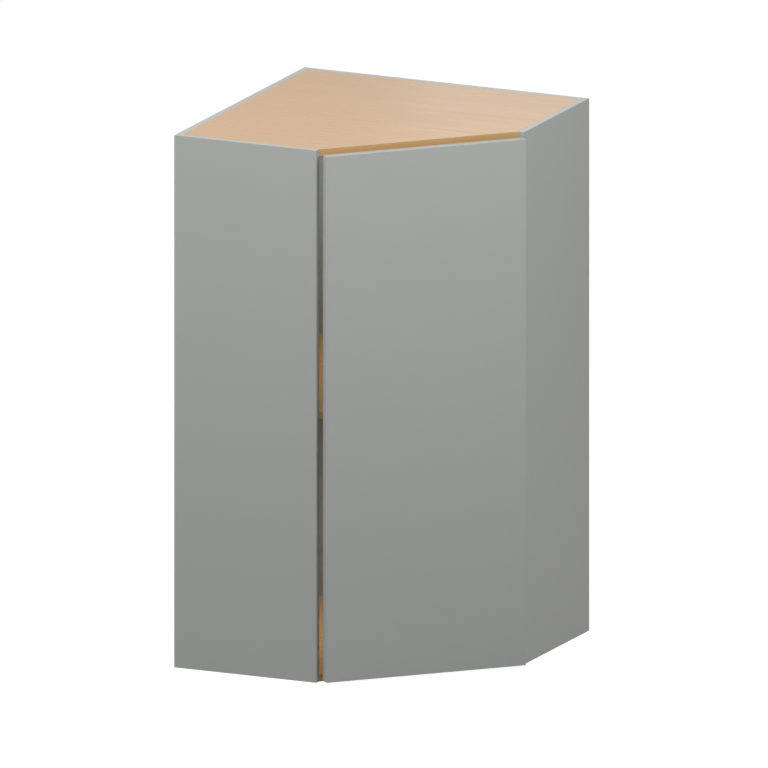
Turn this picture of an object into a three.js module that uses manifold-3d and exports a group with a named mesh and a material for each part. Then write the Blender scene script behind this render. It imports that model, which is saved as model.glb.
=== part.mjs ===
// Diagonal corner wall cabinet with one slab door. Millimetres, +Z up.
// The origin is on the cabinet's underside, at the middle of its square footprint.
// One wall of the room is behind +Y and the other is behind -X. The door faces +X -Y.
import * as THREE from 'three';
import { mergeVertices } from 'three/addons/utils/BufferGeometryUtils.js';
import Module from 'manifold-3d';

const wasm = await Module();
wasm.setup();

// ---- Case ----
const WALL_LENGTH = 609.6;        // along each wall of the room
const CASE_HEIGHT = 1066.8;
const SIDE_DEPTH = 304.8;         // from each wall to the side panel's front end
const SIDE_BOARD = 12.7;
const BACK_BOARD = 12.7;
const FLOOR_BOARD = 14.3;         // top and bottom panels
const SHELF_BOARD = 14.3;
const SHELF_PLAY = 1;             // between the loose shelf and the case, on each side

// ---- Door ----
const DOOR_BOARD = 19.05;
const DOOR_STANDOFF = 3.2;        // door's back to the line that joins the side panels' outer front corners
const DOOR_HINGE_REVEAL = 4.4;
const DOOR_PULL_REVEAL = 11.9;
const DOOR_TOP_REVEAL = 8.7;
const DOOR_BOTTOM_REVEAL = 4;

// ---- Shelf supports ----
const PEG_RADIUS = 3;
const PEG_LENGTH = 8;
const COLLAR_RADIUS = 4.4;
const COLLAR_THICKNESS = 1.5;
const PEG_HOLE_RADIUS = 2.5;
const PEG_HOLE_DEPTH = 9;
const HOLE_PITCH = 32;
const HOLES_EACH_WAY = 2;         // spare holes above and below the one in use
const ROW_SETBACK = 37;           // hole rows from a panel's front end, and from the backs

// ---- Dowels ----
const DOWEL_RADIUS = 3;
const DOWEL_IN_SIDE = 8;
const DOWEL_IN_FLOOR = 16;
const DOWEL_INSET = 60;           // from the side panel's front end and from the back

// ---- Hinges ----
const HINGE_END_DISTANCE = 90;    // hinge to the door's top and bottom edges
const CUP_HOLE_RADIUS = 17.5;
const CUP_HOLE_DEPTH = 12.2;
const CUP_EDGE_WOOD = 4;          // wood between the door's edge and the cup's hole
const CUP_WALL = 1;
const CUP_FLOOR_CLEARANCE = 0.3;
const FLANGE_THICKNESS = 1.2;
const FLANGE_RIM = 1.3;           // flange past the cup's hole
const FLANGE_EAR_RADIUS = 5.5;
const CUP_SCREW_SPACING = 45;
const CUP_SCREW_OFFSET = 9.5;     // screws' line to the cup's centre, away from the door's edge
const PIVOT_OFFSET = 11.4;        // pivot to the cup's centre, towards the door's edge
const PIVOT_DEPTH = 8;            // pivot behind the door's back face
const PIN_RADIUS = 1.5;
const PIN_LENGTH = 20.6;
const EYE_RADIUS = 2.4;
const LUG_GAP = 0.4;              // between the arm's eye and each lug that holds the pin
const ARM_WIDTH = 14;
const ARM_METAL = 2;
const ARM_CRANK_REACH = 15;       // pivot to the bend that leaves the cup
const ARM_HEIGHT = 13;            // middle of the arm's metal above the side panel
const ARM_TAIL = 58;              // arm's end from the side panel's front end
const ARM_CHEEK_START = 14;
const ARM_CHEEK_DROP = 6.5;
const ARM_CHEEK_METAL = 1.5;
const ARM_BEND_RADIUS = 3;
const ARM_SCREW_SETBACK = 46;
const ADJUSTER_SETBACK = 33.5;
const PLATE_METAL = 2;
const PLATE_SCREW_SPACING = 32;
const PLATE_END = 8;              // plate past each of its screws
const PLATE_HEIGHT = PLATE_SCREW_SPACING + 2 * PLATE_END;
const PLATE_LENGTH = 16;
const PLATE_RISER_FRONT = 24;
const PLATE_RISER_END = 56;

// ---- Screws ----
const WOOD_SCREW = { radius: 1.7, length: 12, headRadius: 3.6, headHeight: 1.6 };
const PANEL_SCREW = { radius: 2.6, length: 9.5, headRadius: 4.3, headHeight: 1.9 };
const ARM_SCREW = { radius: 2, length: 8, headRadius: 4, headHeight: 2 };
const ADJUSTING_SCREW = { radius: 1.7, length: 7, headRadius: 3.3, headHeight: 1.6 };

// ---- Clearances ----
const SEAT_GAP = 0.25;            // between metal parts and what they rest on
const HOLE_GAP = 0.2;             // round a shank, pin or dowel in its hole
const CUT_OVERSHOOT = 1;

// ---- Derived sizes and places ----
const HALF = WALL_LENGTH / 2;
const INNER_SIDE = HALF - SIDE_BOARD;
const INNER_BACK = HALF - BACK_BOARD;
const FRONT_END = HALF - SIDE_DEPTH;
const DIAGONAL = Math.SQRT2 * (WALL_LENGTH - SIDE_DEPTH);
const SHELF_BOTTOM = (CASE_HEIGHT - SHELF_BOARD) / 2;
const PEG_Z = SHELF_BOTTOM - SEAT_GAP - PEG_RADIUS;
const DOOR_BACK = DOOR_STANDOFF;
const DOOR_FRONT = DOOR_BACK + DOOR_BOARD;
const CUP_CENTRE = DOOR_HINGE_REVEAL + CUP_EDGE_WOOD + CUP_HOLE_RADIUS;
const CUP_OUTER_RADIUS = CUP_HOLE_RADIUS - HOLE_GAP;
const CUP_INNER_RADIUS = CUP_OUTER_RADIUS - CUP_WALL;
const PIVOT = new THREE.Vector2(CUP_CENTRE - PIVOT_OFFSET, DOOR_BACK + PIVOT_DEPTH);
const PLATE_TOP = SEAT_GAP + PLATE_METAL;
const RISER_TOP = ARM_HEIGHT - ARM_METAL / 2 - SEAT_GAP;
const ROW_TOP = PEG_Z + HOLES_EACH_WAY * HOLE_PITCH;
const HINGE_HEIGHTS = {
  lower: DOOR_BOTTOM_REVEAL + HINGE_END_DISTANCE,
  middle: ROW_TOP + HOLE_PITCH / 3 + PLATE_HEIGHT / 2,
  upper: CASE_HEIGHT - DOOR_TOP_REVEAL - HINGE_END_DISTANCE,
};

// ---- Materials ----
const PAINTED_BOARD = { color: 0xa9aba8, roughness: 0.75, metalness: 0 };
const MAPLE_BOARD = { color: 0xba915f, roughness: 0.65, metalness: 0 };
const NICKEL_STEEL = { color: 0xb9bab8, roughness: 0.35, metalness: 0.9 };
const ZINC_STEEL = { color: 0xa7abad, roughness: 0.45, metalness: 0.85 };
const BEECH_DOWEL = { color: 0xc9a06c, roughness: 0.8, metalness: 0 };

// ---- Shapes ----

// A three.js geometry as a solid that can be cut and joined.
function solid(geometry) {
  const bare = geometry.index ? geometry.toNonIndexed() : geometry.clone();
  bare.deleteAttribute('normal');
  bare.deleteAttribute('uv');
  const merged = mergeVertices(bare, 1e-4);
  const corners = Array.from(merged.index.array);
  const kept = [];
  for (let i = 0; i < corners.length; i += 3) {
    const [a, b, c] = corners.slice(i, i + 3);
    if (a !== b && b !== c && c !== a) kept.push(a, b, c);
  }
  const vertProperties = new Float32Array(merged.attributes.position.array);
  const triVerts = new Uint32Array(kept);
  return new wasm.Manifold(new wasm.Mesh({ numProp: 3, vertProperties, triVerts }));
}

// A solid as a named three.js mesh.
function mesh(name, body, look) {
  const data = body.getMesh();
  const geometry = new THREE.BufferGeometry();
  geometry.setAttribute('position', new THREE.BufferAttribute(data.vertProperties, 3));
  geometry.setIndex(new THREE.BufferAttribute(data.triVerts, 1));
  geometry.computeVertexNormals();
  const made = new THREE.Mesh(geometry, new THREE.MeshStandardMaterial(look));
  made.name = name;
  return made;
}

// An outline in X and Y, raised from one height to another.
function prism(shape, bottom, top) {
  const options = { depth: top - bottom, bevelEnabled: false, curveSegments: 6 };
  return solid(new THREE.ExtrudeGeometry(shape, options).translate(0, 0, bottom));
}

function outline(points) {
  return new THREE.Shape(points.map(([x, y]) => new THREE.Vector2(x, y)));
}

function roundedRectangle(x0, y0, x1, y1, radius) {
  const shape = new THREE.Shape();
  shape.absarc(x1 - radius, y0 + radius, radius, -Math.PI / 2, 0);
  shape.absarc(x1 - radius, y1 - radius, radius, 0, Math.PI / 2);
  shape.absarc(x0 + radius, y1 - radius, radius, Math.PI / 2, Math.PI);
  shape.absarc(x0 + radius, y0 + radius, radius, Math.PI, Math.PI * 1.5);
  return shape;
}

// A round rod between two points.
function rod(radius, from, to, sides = 16) {
  const along = new THREE.Vector3().subVectors(to, from);
  const geometry = new THREE.CylinderGeometry(radius, radius, along.length(), sides);
  const turn = new THREE.Quaternion().setFromUnitVectors(new THREE.Vector3(0, 1, 0), along.clone().normalize());
  geometry.applyQuaternion(turn);
  geometry.translate(...along.multiplyScalar(0.5).add(from).toArray());
  return solid(geometry);
}

// A blind hole's cutter: it starts just outside the face and goes in by the depth.
function drill(radius, mouth, inwards, depth, sides = 16) {
  const start = mouth.clone().addScaledVector(inwards, -CUT_OVERSHOOT);
  const end = mouth.clone().addScaledVector(inwards, depth);
  return rod(radius, start, end, sides);
}

// A turned piece: profile points are [radius, distance along +Y], from the axis round to the axis.
function turned(profile, sides = 16) {
  return solid(new THREE.LatheGeometry(profile.map(([r, y]) => new THREE.Vector2(r, y)), sides));
}

function v(x, y, z) {
  return new THREE.Vector3(x, y, z);
}

const cabinet = new THREE.Group();

// The door's own frame: X runs from the hinge-side corner towards the pull side, and Y runs outwards.
const doorFrame = new THREE.Group();
doorFrame.position.set(HALF, FRONT_END, 0);
doorFrame.rotation.z = -Math.PI * 0.75;
cabinet.add(doorFrame);

// The right side panel's inner face: X runs back from its front end, and Y runs away from the panel.
const sideFrame = new THREE.Group();
sideFrame.position.set(INNER_SIDE, FRONT_END, 0);
sideFrame.rotation.z = Math.PI / 2;
cabinet.add(sideFrame);

// A point of the door's frame, in the side panel's frame.
function doorToSide(x, y) {
  return new THREE.Vector2(-(x + y) / Math.SQRT2, (x - y) / Math.SQRT2 - SIDE_BOARD);
}

// ---- Where the shelf pegs go: a mouth on a panel's inner face, and the way into the board ----
const INTO_LEFT_SIDE = v(0, -1, 0);
const INTO_RIGHT_SIDE = v(1, 0, 0);
const INTO_LEFT_BACK = v(-1, 0, 0);
const INTO_RIGHT_BACK = v(0, 1, 0);
const PEG_SPOTS = {
  left_side: [
    { mouth: v(-FRONT_END - ROW_SETBACK, -INNER_SIDE, PEG_Z), inwards: INTO_LEFT_SIDE },
    { mouth: v(-INNER_BACK + ROW_SETBACK, -INNER_SIDE, PEG_Z), inwards: INTO_LEFT_SIDE },
  ],
  right_side: [
    { mouth: v(INNER_SIDE, FRONT_END + ROW_SETBACK, PEG_Z), inwards: INTO_RIGHT_SIDE },
    { mouth: v(INNER_SIDE, INNER_BACK - ROW_SETBACK, PEG_Z), inwards: INTO_RIGHT_SIDE },
  ],
  left_back: [
    { mouth: v(-INNER_BACK, INNER_BACK - ROW_SETBACK, PEG_Z), inwards: INTO_LEFT_BACK },
  ],
  right_back: [
    { mouth: v(-INNER_BACK + ROW_SETBACK, INNER_BACK, PEG_Z), inwards: INTO_RIGHT_BACK },
  ],
};

// A panel with the rows of holes that let the shelf be moved up and down.
function withPegHoles(board, spots) {
  let cut = board;
  for (const { mouth, inwards } of spots) {
    for (let step = -HOLES_EACH_WAY; step <= HOLES_EACH_WAY; step += 1) {
      const spot = mouth.clone().add(v(0, 0, step * HOLE_PITCH));
      cut = cut.subtract(drill(PEG_HOLE_RADIUS, spot, inwards, PEG_HOLE_DEPTH, 12));
    }
  }
  return cut;
}

// ---- Where the dowels go: on the joint between a side panel and the top or bottom panel ----
function dowelSpots(z) {
  const left = [-FRONT_END - DOWEL_INSET, -INNER_BACK + DOWEL_INSET];
  const right = [FRONT_END + DOWEL_INSET, INNER_BACK - DOWEL_INSET];
  return {
    left: left.map((x) => ({ mouth: v(x, -INNER_SIDE, z), inwards: INTO_LEFT_SIDE })),
    right: right.map((y) => ({ mouth: v(INNER_SIDE, y, z), inwards: INTO_RIGHT_SIDE })),
  };
}

const BOTTOM_DOWELS = dowelSpots(FLOOR_BOARD / 2);
const TOP_DOWELS = dowelSpots(CASE_HEIGHT - FLOOR_BOARD / 2);

function withDowelHoles(board, spots, depth, reversed) {
  let cut = board;
  for (const { mouth, inwards } of spots) {
    const way = reversed ? inwards.clone().negate() : inwards;
    cut = cut.subtract(drill(DOWEL_RADIUS + HOLE_GAP, mouth, way, depth + HOLE_GAP, 12));
  }
  return cut;
}

// ---- Side panels: square-cut front ends, and their back ends cover the ends of the backs ----
function leftSidePanel() {
  const plan = outline([[-HALF, -HALF], [-FRONT_END, -HALF], [-FRONT_END, -INNER_SIDE], [-HALF, -INNER_SIDE]]);
  const bored = withPegHoles(prism(plan, 0, CASE_HEIGHT), PEG_SPOTS.left_side);
  return withDowelHoles(bored, [...BOTTOM_DOWELS.left, ...TOP_DOWELS.left], DOWEL_IN_SIDE, false);
}

function rightSidePanel() {
  const plan = outline([[INNER_SIDE, FRONT_END], [HALF, FRONT_END], [HALF, HALF], [INNER_SIDE, HALF]]);
  let bored = withPegHoles(prism(plan, 0, CASE_HEIGHT), PEG_SPOTS.right_side);
  bored = withDowelHoles(bored, [...BOTTOM_DOWELS.right, ...TOP_DOWELS.right], DOWEL_IN_SIDE, false);
  for (const height of Object.values(HINGE_HEIGHTS)) {
    for (const side of [-1, 1]) {
      const mouth = v(INNER_SIDE, FRONT_END + ROW_SETBACK, height + side * PLATE_SCREW_SPACING / 2);
      const depth = PANEL_SCREW.length - PLATE_TOP;
      const hole = drill(PANEL_SCREW.radius + HOLE_GAP, mouth, INTO_RIGHT_SIDE, depth + HOLE_GAP * 2, 12);
      bored = bored.subtract(hole);
    }
  }
  return bored;
}

// ---- Back panels: the right one runs into the room's corner and laps the left one ----
function leftBackPanel() {
  const plan = outline([
    [-HALF, -INNER_SIDE], [-INNER_BACK, -INNER_SIDE], [-INNER_BACK, INNER_BACK], [-HALF, INNER_BACK],
  ]);
  return withPegHoles(prism(plan, 0, CASE_HEIGHT), PEG_SPOTS.left_back);
}

function rightBackPanel() {
  const plan = outline([[-HALF, INNER_BACK], [INNER_SIDE, INNER_BACK], [INNER_SIDE, HALF], [-HALF, HALF]]);
  return withPegHoles(prism(plan, 0, CASE_HEIGHT), PEG_SPOTS.right_back);
}

// ---- Top, bottom and shelf: five-sided boards whose front edge joins the side panels' inner corners ----
function fiveSided(play) {
  return outline([
    [-INNER_BACK + play, -INNER_SIDE + play],
    [-FRONT_END + play, -INNER_SIDE + play],
    [INNER_SIDE - play, FRONT_END - play],
    [INNER_SIDE - play, INNER_BACK - play],
    [-INNER_BACK + play, INNER_BACK - play],
  ]);
}

function bottomPanel() {
  const board = prism(fiveSided(0), 0, FLOOR_BOARD);
  return withDowelHoles(board, [...BOTTOM_DOWELS.left, ...BOTTOM_DOWELS.right], DOWEL_IN_FLOOR, true);
}

function topPanel() {
  const board = prism(fiveSided(0), CASE_HEIGHT - FLOOR_BOARD, CASE_HEIGHT);
  return withDowelHoles(board, [...TOP_DOWELS.left, ...TOP_DOWELS.right], DOWEL_IN_FLOOR, true);
}

function shelfBoard() {
  return prism(fiveSided(SHELF_PLAY), SHELF_BOTTOM, SHELF_BOTTOM + SHELF_BOARD);
}

cabinet.add(mesh('left_side_panel', leftSidePanel(), PAINTED_BOARD));
cabinet.add(mesh('right_side_panel', rightSidePanel(), PAINTED_BOARD));
cabinet.add(mesh('left_back_panel', leftBackPanel(), PAINTED_BOARD));
cabinet.add(mesh('right_back_panel', rightBackPanel(), PAINTED_BOARD));
cabinet.add(mesh('bottom_panel', bottomPanel(), MAPLE_BOARD));
cabinet.add(mesh('top_panel', topPanel(), MAPLE_BOARD));
cabinet.add(mesh('shelf', shelfBoard(), MAPLE_BOARD));

// ---- Dowels: glued into the side panels, and into the ends of the top and bottom panels ----
function dowel({ mouth, inwards }) {
  const from = mouth.clone().addScaledVector(inwards, -DOWEL_IN_FLOOR);
  const to = mouth.clone().addScaledVector(inwards, DOWEL_IN_SIDE);
  return rod(DOWEL_RADIUS, from, to, 12);
}

for (const [level, spots] of Object.entries({ bottom: BOTTOM_DOWELS, top: TOP_DOWELS })) {
  for (const [side, pair] of Object.entries(spots)) {
    pair.forEach((spot, i) => {
      cabinet.add(mesh(`${level}_${side}_dowel_${i + 1}`, dowel(spot), BEECH_DOWEL));
    });
  }
}

// ---- Shelf pegs: a shank in the panel's hole, a collar against the panel, and the peg under the shelf ----
function shelfPeg() {
  const shank = PEG_HOLE_RADIUS - HOLE_GAP;
  return turned([
    [0, -PEG_HOLE_DEPTH + SEAT_GAP],
    [shank, -PEG_HOLE_DEPTH + SEAT_GAP],
    [shank, SEAT_GAP],
    [COLLAR_RADIUS, SEAT_GAP],
    [COLLAR_RADIUS, SEAT_GAP + COLLAR_THICKNESS],
    [PEG_RADIUS, SEAT_GAP + COLLAR_THICKNESS],
    [PEG_RADIUS, SEAT_GAP + COLLAR_THICKNESS + PEG_LENGTH],
    [0, SEAT_GAP + COLLAR_THICKNESS + PEG_LENGTH],
  ]);
}

// The collar's top is cut flat, so that it clears the shelf that the peg carries.
function flatTopped(peg) {
  const reach = PEG_LENGTH + COLLAR_THICKNESS + CUT_OVERSHOOT;
  const size = COLLAR_RADIUS * 2;
  const block = new THREE.BoxGeometry(size, reach, size);
  return peg.subtract(solid(block.translate(0, SEAT_GAP + reach / 2, PEG_RADIUS + size / 2)));
}

Object.values(PEG_SPOTS).flat().forEach(({ mouth, inwards }, i) => {
  const peg = mesh(`shelf_peg_${i + 1}`, flatTopped(shelfPeg()), NICKEL_STEEL);
  peg.position.copy(mouth);
  peg.rotation.z = Math.atan2(inwards.x, -inwards.y);
  cabinet.add(peg);
});

// ---- Door: a slab, bored from behind for the hinge cups and their screws ----
function cupScrewSpots(height) {
  return [-1, 1].map((side) => v(CUP_CENTRE + CUP_SCREW_OFFSET, DOOR_BACK, height + side * CUP_SCREW_SPACING / 2));
}

function doorPanel() {
  const right = DOOR_HINGE_REVEAL;
  const left = DIAGONAL - DOOR_PULL_REVEAL;
  const plan = outline([[right, DOOR_BACK], [left, DOOR_BACK], [left, DOOR_FRONT], [right, DOOR_FRONT]]);
  const outwards = v(0, 1, 0);
  let board = prism(plan, DOOR_BOTTOM_REVEAL, CASE_HEIGHT - DOOR_TOP_REVEAL);
  for (const height of Object.values(HINGE_HEIGHTS)) {
    const cupMouth = v(CUP_CENTRE, DOOR_BACK, height);
    board = board.subtract(drill(CUP_HOLE_RADIUS, cupMouth, outwards, CUP_HOLE_DEPTH, 40));
    for (const mouth of cupScrewSpots(height)) {
      board = board.subtract(drill(WOOD_SCREW.radius + HOLE_GAP, mouth, outwards, WOOD_SCREW.length, 12));
    }
  }
  return board;
}

doorFrame.add(mesh('door_panel', doorPanel(), PAINTED_BOARD));

// ---- Hinge cup: a pressed steel cup with a screw-on flange and two lugs that hold the pin ----
// It is built in the door's frame, with the hinge's own height at Z 0.
function hingeCup() {
  const flangeTop = DOOR_BACK - SEAT_GAP;
  const flangeFace = flangeTop - FLANGE_THICKNESS;
  const floor = DOOR_BACK + CUP_HOLE_DEPTH - CUP_FLOOR_CLEARANCE;
  const innerFloor = floor - CUP_WALL;
  const corner = CUP_WALL * 1.5;
  const bowl = turned([
    [0, innerFloor],
    [CUP_INNER_RADIUS - corner, innerFloor],
    [CUP_INNER_RADIUS, innerFloor - corner],
    [CUP_INNER_RADIUS, flangeFace],
    [CUP_OUTER_RADIUS, flangeFace],
    [CUP_OUTER_RADIUS, floor - corner],
    [CUP_OUTER_RADIUS - corner, floor],
    [0, floor],
  ], 40).translate(CUP_CENTRE, 0, 0);

  const screwLine = CUP_CENTRE + CUP_SCREW_OFFSET;
  const earEnd = CUP_SCREW_SPACING / 2 + FLANGE_EAR_RADIUS;
  const ears = roundedRectangle(
    screwLine - FLANGE_EAR_RADIUS, -earEnd, screwLine + FLANGE_EAR_RADIUS, earEnd, FLANGE_EAR_RADIUS - 0.01,
  );
  // The ears' outline lies in X and Z, so the prism is turned to stand along Y.
  const earPlate = prism(ears, 0, FLANGE_THICKNESS).rotate([90, 0, 0]).translate(0, flangeTop, 0);
  const rim = rod(CUP_HOLE_RADIUS + FLANGE_RIM, v(CUP_CENTRE, flangeFace, 0), v(CUP_CENTRE, flangeTop, 0), 40);
  const mouth = rod(
    CUP_INNER_RADIUS, v(CUP_CENTRE, flangeFace - CUT_OVERSHOOT, 0), v(CUP_CENTRE, flangeTop + CUT_OVERSHOOT, 0), 40,
  );
  let cup = rim.add(earPlate).subtract(mouth).add(bowl);

  const lugInner = ARM_WIDTH / 2 + LUG_GAP;
  const lugOuter = PIN_LENGTH / 2;
  for (const side of [-1, 1]) {
    const thickness = lugOuter - lugInner;
    const block = new THREE.BoxGeometry(EYE_RADIUS * 2, floor - CUP_WALL / 2 - PIVOT.y + EYE_RADIUS, thickness);
    const middleY = (floor - CUP_WALL / 2 + PIVOT.y - EYE_RADIUS) / 2;
    cup = cup.add(solid(block.translate(PIVOT.x, middleY, side * (lugInner + thickness / 2))));
  }
  const pinReach = PIN_LENGTH / 2 + HOLE_GAP;
  cup = cup.subtract(rod(PIN_RADIUS + HOLE_GAP, v(PIVOT.x, PIVOT.y, -pinReach), v(PIVOT.x, PIVOT.y, pinReach)));
  for (const spot of cupScrewSpots(0)) {
    const from = v(spot.x, flangeFace - CUT_OVERSHOOT, spot.z);
    const to = v(spot.x, flangeTop + CUT_OVERSHOOT, spot.z);
    cup = cup.subtract(rod(WOOD_SCREW.radius + HOLE_GAP, from, to));
  }
  return cup;
}

function hingePin() {
  const half = PIN_LENGTH / 2;
  return rod(PIN_RADIUS, v(PIVOT.x, PIVOT.y, -half), v(PIVOT.x, PIVOT.y, half));
}

// The screw that locks the arm to its plate, and the one near its front that sets the door's reveal.
const ARM_SCREW_SPOTS = [[ARM_SCREW_SETBACK, ARM_SCREW], [ADJUSTER_SETBACK, ADJUSTING_SCREW]];

// ---- Hinge arm: one cranked strap from the pin, out of the cup and over the mounting plate ----
// It is built in the side panel's frame. The crank is what lets the door's edge swing clear.
function roundedPath(corners, radius, steps = 4) {
  const points = [corners[0]];
  for (let i = 1; i < corners.length - 1; i += 1) {
    const back = corners[i - 1].clone().sub(corners[i]).normalize();
    const on = corners[i + 1].clone().sub(corners[i]).normalize();
    const halfAngle = Math.acos(back.dot(on)) / 2;
    const reach = radius / Math.tan(halfAngle);
    const start = corners[i].clone().addScaledVector(back, reach);
    const end = corners[i].clone().addScaledVector(on, reach);
    const bend = new THREE.QuadraticBezierCurve(start, corners[i], end);
    points.push(...bend.getPoints(steps));
  }
  points.push(corners.at(-1));
  return points;
}

// A flat strap of even thickness along a path, seen edge on.
function strapOutline(path, thickness) {
  const left = [];
  const right = [];
  path.forEach((point, i) => {
    const before = path[Math.max(i - 1, 0)];
    const after = path[Math.min(i + 1, path.length - 1)];
    const along = after.clone().sub(before).normalize();
    const across = new THREE.Vector2(-along.y, along.x).multiplyScalar(thickness / 2);
    left.push(point.clone().add(across));
    right.unshift(point.clone().sub(across));
  });
  return new THREE.Shape([...left, ...right]);
}

function hingeArm() {
  const pivot = doorToSide(PIVOT.x, PIVOT.y);
  const crank = doorToSide(PIVOT.x + ARM_CRANK_REACH, PIVOT.y);
  const knee = new THREE.Vector2(crank.x + ARM_HEIGHT - crank.y, ARM_HEIGHT);
  const tail = new THREE.Vector2(ARM_TAIL, ARM_HEIGHT);
  const path = roundedPath([pivot, crank, knee, tail], ARM_BEND_RADIUS);
  const halfWidth = ARM_WIDTH / 2;
  const strap = prism(strapOutline(path, ARM_METAL), -halfWidth, halfWidth);
  const eye = rod(EYE_RADIUS, v(pivot.x, pivot.y, -halfWidth), v(pivot.x, pivot.y, halfWidth), 20);
  let arm = strap.add(eye);
  for (const side of [-1, 1]) {
    const middle = side * (halfWidth - ARM_CHEEK_METAL / 2);
    const foot = ARM_HEIGHT - ARM_CHEEK_DROP;
    const cheek = outline([
      [ARM_CHEEK_START, ARM_HEIGHT], [ARM_CHEEK_START + ARM_CHEEK_DROP, foot],
      [ARM_TAIL - ARM_METAL, foot], [ARM_TAIL, foot + ARM_METAL], [ARM_TAIL, ARM_HEIGHT],
    ]);
    arm = arm.add(prism(cheek, middle - ARM_CHEEK_METAL / 2, middle + ARM_CHEEK_METAL / 2));
  }
  const boreReach = halfWidth + CUT_OVERSHOOT;
  arm = arm.subtract(rod(PIN_RADIUS + HOLE_GAP, v(pivot.x, pivot.y, -boreReach), v(pivot.x, pivot.y, boreReach)));
  for (const [setback, { radius }] of ARM_SCREW_SPOTS) {
    const from = v(setback, ARM_HEIGHT - ARM_METAL, 0);
    const to = v(setback, ARM_HEIGHT + ARM_METAL, 0);
    arm = arm.subtract(rod(radius + HOLE_GAP, from, to));
  }
  return arm;
}

// ---- Mounting plate: two screw wings and a riser that the arm's channel sits over ----
function mountingPlate() {
  const wings = roundedRectangle(
    ROW_SETBACK - PLATE_LENGTH / 2, -PLATE_HEIGHT / 2, ROW_SETBACK + PLATE_LENGTH / 2, PLATE_HEIGHT / 2, 5,
  );
  // The wings' outline lies in X and Z, so the prism is turned to stand along Y.
  let plate = prism(wings, 0, PLATE_METAL).rotate([90, 0, 0]).translate(0, PLATE_TOP, 0);
  const riserHalf = ARM_WIDTH / 2 - ARM_CHEEK_METAL - SEAT_GAP;
  const riser = outline([
    [PLATE_RISER_FRONT, SEAT_GAP], [PLATE_RISER_END, SEAT_GAP], [PLATE_RISER_END, RISER_TOP],
    [PLATE_RISER_FRONT + RISER_TOP / 2, RISER_TOP],
  ]);
  plate = plate.add(prism(riser, -riserHalf, riserHalf));
  for (const side of [-1, 1]) {
    const z = side * PLATE_SCREW_SPACING / 2;
    plate = plate.subtract(rod(PANEL_SCREW.radius + HOLE_GAP, v(ROW_SETBACK, -1, z), v(ROW_SETBACK, PLATE_TOP + 1, z)));
  }
  for (const [setback, { radius, length }] of ARM_SCREW_SPOTS) {
    plate = plate.subtract(drill(radius + HOLE_GAP, v(setback, RISER_TOP, 0), v(0, -1, 0), length));
  }
  return plate;
}

// ---- Screws: a shank and a low round head. The point is along +Y and the head's underside is at 0 ----
function screw({ radius, length, headRadius, headHeight }) {
  return turned([
    [0, -headHeight],
    [headRadius * 0.72, -headHeight],
    [headRadius, -headHeight * 0.45],
    [headRadius, 0],
    [radius, 0],
    [radius, length - radius],
    [0, length],
  ]);
}

function placed(piece, x, y, z, turn = 0) {
  piece.position.set(x, y, z);
  piece.rotation.z = turn;
  return piece;
}

for (const [level, height] of Object.entries(HINGE_HEIGHTS)) {
  doorFrame.add(placed(mesh(`${level}_hinge_cup`, hingeCup(), NICKEL_STEEL), 0, 0, height));
  doorFrame.add(placed(mesh(`${level}_hinge_pin`, hingePin(), ZINC_STEEL), 0, 0, height));
  cupScrewSpots(height).forEach((spot, i) => {
    const seat = DOOR_BACK - SEAT_GAP * 2 - FLANGE_THICKNESS;
    const cupScrew = mesh(`${level}_hinge_cup_screw_${i + 1}`, screw(WOOD_SCREW), ZINC_STEEL);
    doorFrame.add(placed(cupScrew, spot.x, seat, spot.z));
  });
  sideFrame.add(placed(mesh(`${level}_hinge_arm`, hingeArm(), NICKEL_STEEL), 0, 0, height));
  sideFrame.add(placed(mesh(`${level}_hinge_plate`, mountingPlate(), ZINC_STEEL), 0, 0, height));
  const armSeat = ARM_HEIGHT + ARM_METAL / 2 + SEAT_GAP;
  const armScrew = mesh(`${level}_hinge_arm_screw`, screw(ARM_SCREW), ZINC_STEEL);
  sideFrame.add(placed(armScrew, ARM_SCREW_SETBACK, armSeat, height, Math.PI));
  const adjuster = mesh(`${level}_hinge_adjusting_screw`, screw(ADJUSTING_SCREW), ZINC_STEEL);
  sideFrame.add(placed(adjuster, ADJUSTER_SETBACK, armSeat, height, Math.PI));
  [-1, 1].forEach((side, i) => {
    const z = height + side * PLATE_SCREW_SPACING / 2;
    const plateScrew = mesh(`${level}_hinge_plate_screw_${i + 1}`, screw(PANEL_SCREW), ZINC_STEEL);
    sideFrame.add(placed(plateScrew, ROW_SETBACK, PLATE_TOP + SEAT_GAP, z, Math.PI));
  });
}

export default cabinet;
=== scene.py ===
import math

import bmesh
import bpy
from mathutils import Matrix, Vector


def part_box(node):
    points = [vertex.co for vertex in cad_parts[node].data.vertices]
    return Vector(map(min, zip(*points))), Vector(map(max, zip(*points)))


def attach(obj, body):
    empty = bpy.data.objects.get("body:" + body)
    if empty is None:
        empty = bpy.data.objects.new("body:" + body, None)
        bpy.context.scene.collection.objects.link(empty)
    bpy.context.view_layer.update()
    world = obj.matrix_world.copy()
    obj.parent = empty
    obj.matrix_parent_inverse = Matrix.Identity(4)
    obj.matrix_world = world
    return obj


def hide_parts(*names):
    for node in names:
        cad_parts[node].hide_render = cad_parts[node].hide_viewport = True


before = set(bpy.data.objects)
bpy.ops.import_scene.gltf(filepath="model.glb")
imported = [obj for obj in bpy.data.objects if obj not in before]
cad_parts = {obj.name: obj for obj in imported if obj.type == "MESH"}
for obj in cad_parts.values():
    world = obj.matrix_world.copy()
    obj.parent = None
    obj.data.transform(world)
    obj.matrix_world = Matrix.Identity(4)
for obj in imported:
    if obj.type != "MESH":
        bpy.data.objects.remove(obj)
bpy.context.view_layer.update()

# ---- View ----
# A parallel view from the front left, a little above: the cabinet's upright edges stay upright,
# and its top shows as a thin five-sided face.
VIEW_ROUND = math.radians(24.62)
VIEW_UP = math.radians(13.824)
VIEW_WIDTH = 1.4947           # metres across the picture
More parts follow.
